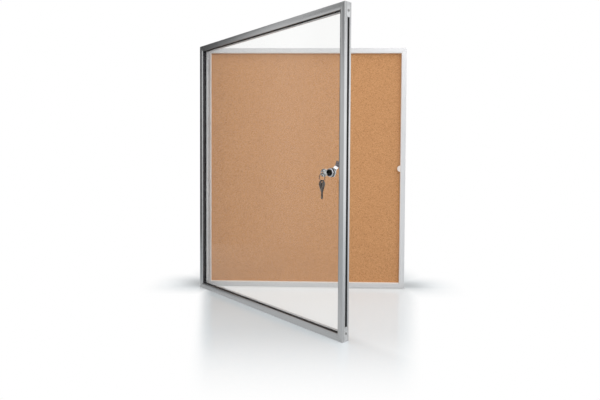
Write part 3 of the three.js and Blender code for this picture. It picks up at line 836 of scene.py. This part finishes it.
class NOTICE_OT_brackets(bpy.types.Operator):
    """Finish the door's corner brackets and give them screws with cross recesses"""

    bl_idname = "notice_board.brackets"
    bl_label = "Corner brackets"

    def execute(self, context):
        metal = context.scene.notice_metal
        sizes = context.scene.notice_fasteners
        cast = cast_metal("bracket_casting", metal.bracket_colour, metal.roughness, 0.85, 0.5 * MM)
        dress(cast, *names_with("door_bracket"))
        steel = polished_metal("bracket_screw_steel", linear(178, 178, 178), 0.22)
        across = (door_place.to_3x3() @ Vector((1, 0, 0))).normalized()
        top = cad_high.z
        screw_half = 4.0 * MM
        for name in names_with("bracket_screw"):
            low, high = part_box(name)
            middle = (low + high) / 2
            upward = math.copysign(1, middle.z)
            outward = 1 if "lock" in name else -1
            if high.z > top - MM or low.z < MM - top:
                matrix = facing((middle.x, middle.y, upward * top), (0, 0, upward))
            else:
                local = door_place.inverted() @ middle
                local.x += outward * screw_half
                matrix = facing(door_place @ local, across * outward)
            screw = bmesh.new()
            cross_screw(screw, matrix, sizes.bracket_head, rise=0.0, sink=2.0 * MM, top_share=1.0)
            piece = piece_from(screw, f"{name}_head", steel, "door")
            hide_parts(name)
        return {"FINISHED"}


def revolved(points, axis_place, steps):
    """A closed profile of (radius, depth) points in millimetres, spun about the lock's axis."""
    bm = bmesh.new()
    verts = [bm.verts.new((radius * MM, depth * MM, 0)) for radius, depth in points]
    edges = [bm.edges.new((verts[i - 1], verts[i])) for i in range(len(verts))]
    bmesh.ops.spin(
        bm,
        geom=verts + edges,
        cent=(0, 0, 0),
        axis=(0, 1, 0),
        angle=2 * math.pi,
        steps=steps,
        use_merge=True,
    )
    bmesh.ops.transform(bm, matrix=axis_place, verts=bm.verts)
    return bm


# Profiles of the lock's head and of the black collar round its keyway: radius, and depth from the face

HEAD_PROFILE = (
    (8.1, 8.9),
    (8.4, 8.45),
    (9.0, 8.2),
    (9.4, 8.0),
    (10.4, 8.05),
    (11.2, 8.35),
    (11.8, 8.9),
    (12.15, 9.8),
    (12.15, 11.5),
    (9.8, 11.6),
    (9.8, 24.0),
    (8.1, 24.0),
)
COLLAR_PROFILE = (
    (4.8, 8.6),
    (4.8, 7.9),
    (6.4, 3.4),
    (7.0, 3.0),
    (8.4, 3.0),
    (9.0, 3.5),
    (9.0, 8.05),
    (7.6, 8.05),
    (7.6, 8.6),
)


class NOTICE_OT_lock(bpy.types.Operator):
    """Turn the lock's polished head and finish its plug, washer, nuts and cam"""

    bl_idname = "notice_board.lock"
    bl_label = "Cam lock"

    def execute(self, context):
        chrome = polished_metal("lock_chrome", linear(196, 197, 200), 0.08)
        at = lock_place @ Matrix.Translation((0, lock_face_depth, 0))
        head = revolved(HEAD_PROFILE, at, steps=64)
        piece = piece_from(head, "lock_head", chrome, "door", smooth_angle=28.0)
        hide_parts("lock_body")
        plastic = soft_black("plug_plastic", linear(14, 14, 15), 0.4, (900, 900, 900), 0.12)
        dress(plastic, "lock_plug")
        collar = revolved(COLLAR_PROFILE, at, steps=48)
        piece_from(collar, "plug_collar", plastic, "plug", smooth_angle=40.0)
        dress(soft_black("washer_fibre", linear(44, 44, 45), 0.6, (900, 900, 900)), "lock_washer")
        zinc = rolled_steel("nut_zinc", linear(196, 197, 198), 0.24, (700, 700, 700), door_turn)
        dress(zinc, "lock_nut", "cam_nut")
        # The cam's tip is painted dark as painted shade
        dress(shade_tipped_steel("cam_zinc", linear(222, 222, 224), linear(104, 98, 100), door_turn), "lock_cam")
        return {"FINISHED"}


# Places along a key from the hole in its bow, and heights across its blade

BOW_END = 26.6 * MM
GROOVE_START = 28.6 * MM
GROOVE_END = 45.2 * MM
GROOVE_TOP = 1.7 * MM
GROOVE_MIDDLE = 0.5 * MM
GROOVE_LOW = -0.7 * MM


def dressed_key(node, name, matrix, material, body):
    """A key cut from its CAD blank: a raised rim round the bow, milled grooves and softened edges."""
    bm = bmesh.new()
    bm.from_mesh(frame["nodes"][node].data)
    bmesh.ops.remove_doubles(bm, verts=bm.verts, dist=merge_reach)
    bmesh.ops.transform(bm, matrix=matrix.inverted(), verts=bm.verts)
    bmesh.ops.dissolve_limit(bm, angle_limit=math.radians(2), verts=bm.verts, edges=bm.edges)
    cuts = [((0, place, 0), (0, 1, 0)) for place in (BOW_END, GROOVE_START, GROOVE_END)]
    cuts += [((0, 0, height), (0, 0, 1)) for height in (GROOVE_TOP, GROOVE_MIDDLE, GROOVE_LOW)]
    for place, direction in cuts:
        geom = list(bm.verts) + list(bm.edges) + list(bm.faces)
        bmesh.ops.bisect_plane(bm, geom=geom, dist=0.001 * MM, plane_co=place, plane_no=direction)
    for side in (-1, 1):
        flat = [(face, face.calc_center_median()) for face in bm.faces if face.normal.x * side > 0.9]
        low, high = (GROOVE_MIDDLE, GROOVE_TOP) if side > 0 else (GROOVE_LOW, GROOVE_MIDDLE)
        bow = [face for face, at in flat if at.y < BOW_END]
        groove = [
            face for face, at in flat if GROOVE_START < at.y < GROOVE_END and low < at.z < high
        ]
        bmesh.ops.inset_region(bm, faces=bow, thickness=1.1 * MM, depth=0.0, use_even_offset=True)
        bmesh.ops.inset_region(bm, faces=bow, thickness=0.2 * MM, depth=-0.22 * MM)
        bmesh.ops.inset_region(bm, faces=groove, thickness=0.15 * MM, depth=-0.35 * MM)
    bmesh.ops.transform(bm, matrix=matrix, verts=bm.verts)
    piece = piece_from(bm, name, material, body, smooth_angle=30.0)
    edge = piece.modifiers.new("softened_edges", "BEVEL")
    edge.width = 0.16 * MM
    edge.segments = 2
    edge.limit_method = "ANGLE"
    edge.angle_limit = math.radians(50)
    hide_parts(node)


class NOTICE_OT_keys(bpy.types.Operator):
    """Mill the key in the lock and the spare one that hangs from it"""

    bl_idname = "notice_board.keys"
    bl_label = "Keys"

    def execute(self, context):
        nickel = rolled_steel("key_nickel", linear(172, 172, 171), 0.18, (500, 900, 900), door_turn)
        # The spare key's nickel is painted darker than the inserted key's: painted shade, not wear
        worn = rolled_steel("worn_key_nickel", linear(118, 112, 108), 0.18, (500, 900, 900), door_turn)
        hole = lock_place @ Matrix.Translation((0, key_hole_depth, 0))
        dressed_key("key", "lock_key", hole, nickel, "inserted_key")
        hung = (
            lock_place
            @ Matrix.Translation((0, key_hole_depth, -2 * (ring_slack + ring_radius)))
            @ Matrix.Rotation(-math.pi / 2, 4, "X")
        )
        dressed_key("spare_key", "hanging_spare_key", hung, worn, "hanging_key")
        return {"FINISHED"}


class NOTICE_OT_key_ring(bpy.types.Operator):
    """Wind the split ring that joins the keys"""

    bl_idname = "notice_board.key_ring"
    bl_label = "Key ring"

    def execute(self, context):
        turns, steps = 2, 56
        pitch = 0.95 * MM
        wire_half = (0.8 * MM, 0.45 * MM, 1)
        wire_start = Matrix.Rotation(0.8, 4, "Y")
        bm = bmesh.new()
        wire = bmesh.ops.create_circle(bm, cap_ends=True, radius=1.0, segments=12)["verts"]
        bmesh.ops.scale(bm, verts=wire, vec=wire_half)
        bmesh.ops.translate(bm, verts=wire, vec=(ring_radius, -pitch * turns / 2, 0))
        bmesh.ops.spin(
            bm,
            geom=list(bm.verts) + list(bm.edges) + list(bm.faces),
            cent=(0, 0, 0),
            axis=(0, 1, 0),
            dvec=(0, pitch / steps, 0),
            angle=2 * math.pi * turns,
            steps=steps * turns,
            use_merge=False,
        )
        centre = lock_place @ Matrix.Translation((0, key_hole_depth, -ring_slack - ring_radius))
        bmesh.ops.transform(bm, matrix=centre @ wire_start, verts=bm.verts)
        # The ring's chrome is painted dark: painted shade
        chrome = polished_metal("ring_chrome", linear(104, 104, 105), 0.12)
        ring = piece_from(bm, "split_ring", chrome, "ring", smooth_angle=40.0)
        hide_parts("key_ring")
        return {"FINISHED"}


# The photograph's camera

CAMERA_PLACE = (0.0363, -1.9303, 0.0443)
CAMERA_PITCH = math.radians(-1.860)
CAMERA_YAW = math.radians(1.694)
CAMERA_ROLL = math.radians(-0.327)
CAMERA_LENS = 30.376
CAMERA_SHIFT = -0.045
SENSOR_WIDTH = 36.0

# Each soft lamp's name, place, target, width and height

LAMPS = (
    ("key", (1.9, -2.6, 2.0), (0, -0.2, 0.1), 2.2, 1.6),
    ("top", (-0.2, -0.6, 2.2), (0, -0.1, 0), 2.4, 1.4),
    ("fill", (0.1, -2.1, -0.25), (0.1, 0, -0.3), 2.4, 0.5),
    ("side", (2.6, -0.65, 0.1), (0, -0.55, 0), 1.6, 1.6),
)


def camera_matrix(place, pitch, yaw, roll):
    """A camera that looks along +Y, turned by yaw, pitch and roll."""
    right = Vector((math.cos(yaw), math.sin(yaw), 0))
    ahead = Vector((-math.sin(yaw), math.cos(yaw), 0))
    up = Vector((0, 0, 1))
    ahead, up = (
        ahead * math.cos(pitch) + up * math.sin(pitch),
        up * math.cos(pitch) - ahead * math.sin(pitch),
    )
    right, up = (
        right * math.cos(roll) - up * math.sin(roll),
        right * math.sin(roll) + up * math.cos(roll),
    )
    matrix = Matrix((right, up, -ahead)).transposed().to_4x4()
    matrix.translation = place
    return matrix


def soft_lamp(name, place, target, width, height, power):
    data = bpy.data.lights.new(name, "AREA")
    data.shape = "RECTANGLE"
    data.size = width
    data.size_y = height
    data.energy = power
    lamp = bpy.data.objects.new(name, data)
    bpy.context.scene.collection.objects.link(lamp)
    lamp.matrix_world = facing(place, Vector(place) - Vector(target))
    return lamp


def stage_sheet(name, matrix, half, segments):
    """A flat square sheet of the studio."""
    bm = bmesh.new()
    bmesh.ops.create_grid(bm, x_segments=segments, y_segments=segments, size=half)
    bmesh.ops.transform(bm, matrix=matrix, verts=bm.verts)
    mesh = bpy.data.meshes.new(name)
    bm.to_mesh(mesh)
    bm.free()
    sheet = bpy.data.objects.new(name, mesh)
    bpy.context.scene.collection.objects.link(sheet)
    return sheet


def studio_sky(world, level):
    """Even light from all round, and plain white where the sky is seen or mirrored."""
    world.use_nodes = True
    sky = Finish(world.node_tree)
    seen = sky.ray("Camera").most(sky.ray("Glossy")).most(sky.ray("Transmission"))
    colour = sky.mix(seen, (level, level, level), (1, 1, 1))
    shader = sky.node("ShaderNodeBackground", {}, {"Color": colour, "Strength": 1.0})
    out = sky.tree.nodes.new("ShaderNodeOutputWorld")
    sky.tree.links.new(shader.socket, out.inputs["Surface"])


def studio_floor(settings, level):
    """A pale satin floor under the board that turns to plain white away from it."""
    floor = stage_sheet("studio_floor", Matrix.Translation((0, 0, level)), half=6, segments=8)
    material, finish = new_finish("studio_floor")
    place = finish.place()
    across = finish.part(place, 0)
    along = finish.part(place, 1)
    beside = across.size()
    off_board = (along - 0.01).size()

    # A pool of painted shade and reflection: how near the board the floor is, in front of it, narrowing
    # away from it as the board's reflection does, behind it and beside its ends. There the grey satin floor
    # shows; elsewhere it is plain white
    widening = (across - 0.015).size() - along * 0.2
    front = (1 - widening.step(0.37, 0.43)) * (1 - along.step(0.0, 0.04)) * along.step(-0.96, -0.46)
    back = (1 - beside.step(0.36, 0.50)) * (1 - along.step(0.05, 0.45)) * along.step(-0.04, 0.0)
    ends = (1 - beside.step(0.40, 0.62)) * (1 - off_board.step(0.03, 0.18))
    near = front.most(back).most(ends)
    # Painted light: the pool is paler beyond the line of the open door
    painted_light_past_door = (across * math.sin(door_turn) + along * math.cos(door_turn) + 0.30).step(0.0, 0.05)
    near = near * (1 - painted_light_past_door * (1 - along.step(-0.04, 0.0)) * 0.30)

    # Painted shadow: darker where the board stands on it, and beside its ends
    under = (1 - beside.step(0.375, 0.385)) * (1 - off_board.step(0.040, 0.062))
    painted_end_shadow = beside.step(0.35, 0.37) * (1 - beside.step(0.38, 0.54)) * (1 - off_board.step(0.0, 0.11))
    painted_contact_shadow = (painted_end_shadow * 0.58).most(under * 0.75)
    cloud = finish.noise(place, 3.0, 3.0)
    shade = finish.mix(cloud, settings.floor_colour, toned(settings.floor_colour, 0.98))
    satin = principled(
        finish,
        Base_Color=finish.mix(painted_contact_shadow, shade, (0.2, 0.2, 0.2)),
        Roughness=cloud.spread(0.14, 0.18),
        Specular_IOR_Level=0.25,
    )
    white = finish.node("ShaderNodeEmission", {}, {"Color": (1, 1, 1), "Strength": 1.0})
    seen = finish.ray("Camera").most(finish.ray("Transmission"))
    amount = ((1 - near) * seen).most(finish.ray("Glossy") * near.spread(0.05, 0.75))
    finish.surface(finish.node("ShaderNodeMixShader", {}, {0: amount, 1: satin, 2: white}))
    floor.data.materials.append(material)


def side_card():
    """A grey card that only metal and gloss mirror. It shades the surroundings on the left."""
    upright = Matrix.Translation((-1.3, 0.5, 1.5)) @ Matrix.Rotation(math.pi / 2, 4, "Y")
    card = stage_sheet("side_card", upright, half=2, segments=2)
    material, finish = new_finish("side_card")
    place = finish.place()
    along = finish.part(place, 1)
    height = finish.part(place, 2)
    light = 1 - along.step(-0.26, 0.16) + along.step(0.60, 0.90) * 0.9
    swell = 1 - (along + 0.23).size().step(0.04, 0.20)
    corner = height.step(0.50, 0.64) * (1 - along.step(-0.42, -0.26))
    rise = height.step(-0.5, 0.5).spread(0.74, 1.1)
    level = light.spread(0.03, 1.0) * rise * (1 - corner * 0.68 + swell * 0.40)
    colour = finish.scaled((1, 1, 1), level)
    finish.surface(finish.node("ShaderNodeEmission", {}, {"Color": colour, "Strength": 1.0}))
    card.data.materials.append(material)
    for ray in ("camera", "diffuse", "transmission", "shadow", "volume_scatter"):
        setattr(card, f"visible_{ray}", False)


class NOTICE_OT_stage(bpy.types.Operator):
    """Set up the pale floor, the soft lamps, the white surroundings and the camera"""

    bl_idname = "notice_board.stage"
    bl_label = "Studio"

    def execute(self, context):
        settings = context.scene.notice_studio
        scene = context.scene
        scene.view_settings.view_transform = "Standard"
        scene.world = bpy.data.worlds.new("studio")
        studio_sky(scene.world, settings.sky_level)
        studio_floor(settings, cad_low.z)
        side_card()
        for name, place, target, width, height in LAMPS:
            power = getattr(settings, f"{name}_power")
            lamp = soft_lamp(f"{name}_lamp", place, target, width, height, power)
            lamp.visible_glossy = name != "fill"
        data = bpy.data.cameras.new("photo_camera")
        data.sensor_width = SENSOR_WIDTH
        data.lens = CAMERA_LENS
        data.shift_y = CAMERA_SHIFT
        camera = bpy.data.objects.new("photo_camera", data)
        scene.collection.objects.link(camera)
        camera.matrix_world = camera_matrix(CAMERA_PLACE, CAMERA_PITCH, CAMERA_YAW, CAMERA_ROLL)
        scene.camera = camera
        return {"FINISHED"}


OPERATORS = (
    NOTICE_OT_stage,
    NOTICE_OT_case,
    NOTICE_OT_board,
    NOTICE_OT_hangers,
    NOTICE_OT_hinge,
    NOTICE_OT_door,
    NOTICE_OT_brackets,
    NOTICE_OT_lock,
    NOTICE_OT_keys,
    NOTICE_OT_key_ring,
)
GROUPS = {
    "notice_metal": NoticeBoardMetal,
    "notice_cork": NoticeBoardCork,
    "notice_trim": NoticeBoardTrim,
    "notice_fasteners": NoticeBoardFasteners,
    "notice_studio": NoticeBoardStudio,
}


class NOTICE_PT_panel(bpy.types.Panel):
    """The notice board's settings and steps"""

    bl_idname = "NOTICE_PT_panel"
    bl_label = "Notice Board"
    bl_space_type = "VIEW_3D"
    bl_region_type = "UI"
    bl_category = "Notice Board"

    def draw(self, context):
        for name, group in GROUPS.items():
            box = self.layout.box()
            for prop in group.__annotations__:
                box.prop(getattr(context.scene, name), prop)
        for operator in OPERATORS:
            self.layout.operator(operator.bl_idname)


def register():
    for name, group in GROUPS.items():
        bpy.utils.register_class(group)
        setattr(bpy.types.Scene, name, bpy.props.PointerProperty(type=group))
    for operator in OPERATORS:
        bpy.utils.register_class(operator)
    bpy.utils.register_class(NOTICE_PT_panel)


def unregister():
    bpy.utils.unregister_class(NOTICE_PT_panel)
    for operator in reversed(OPERATORS):
        bpy.utils.unregister_class(operator)
    for name, group in reversed(GROUPS.items()):
        delattr(bpy.types.Scene, name)
        bpy.utils.unregister_class(group)


def main():
    register()
    for operator in OPERATORS:
        group, name = operator.bl_idname.split(".")
        getattr(getattr(bpy.ops, group), name)()


if __name__ == "__main__":
    main()
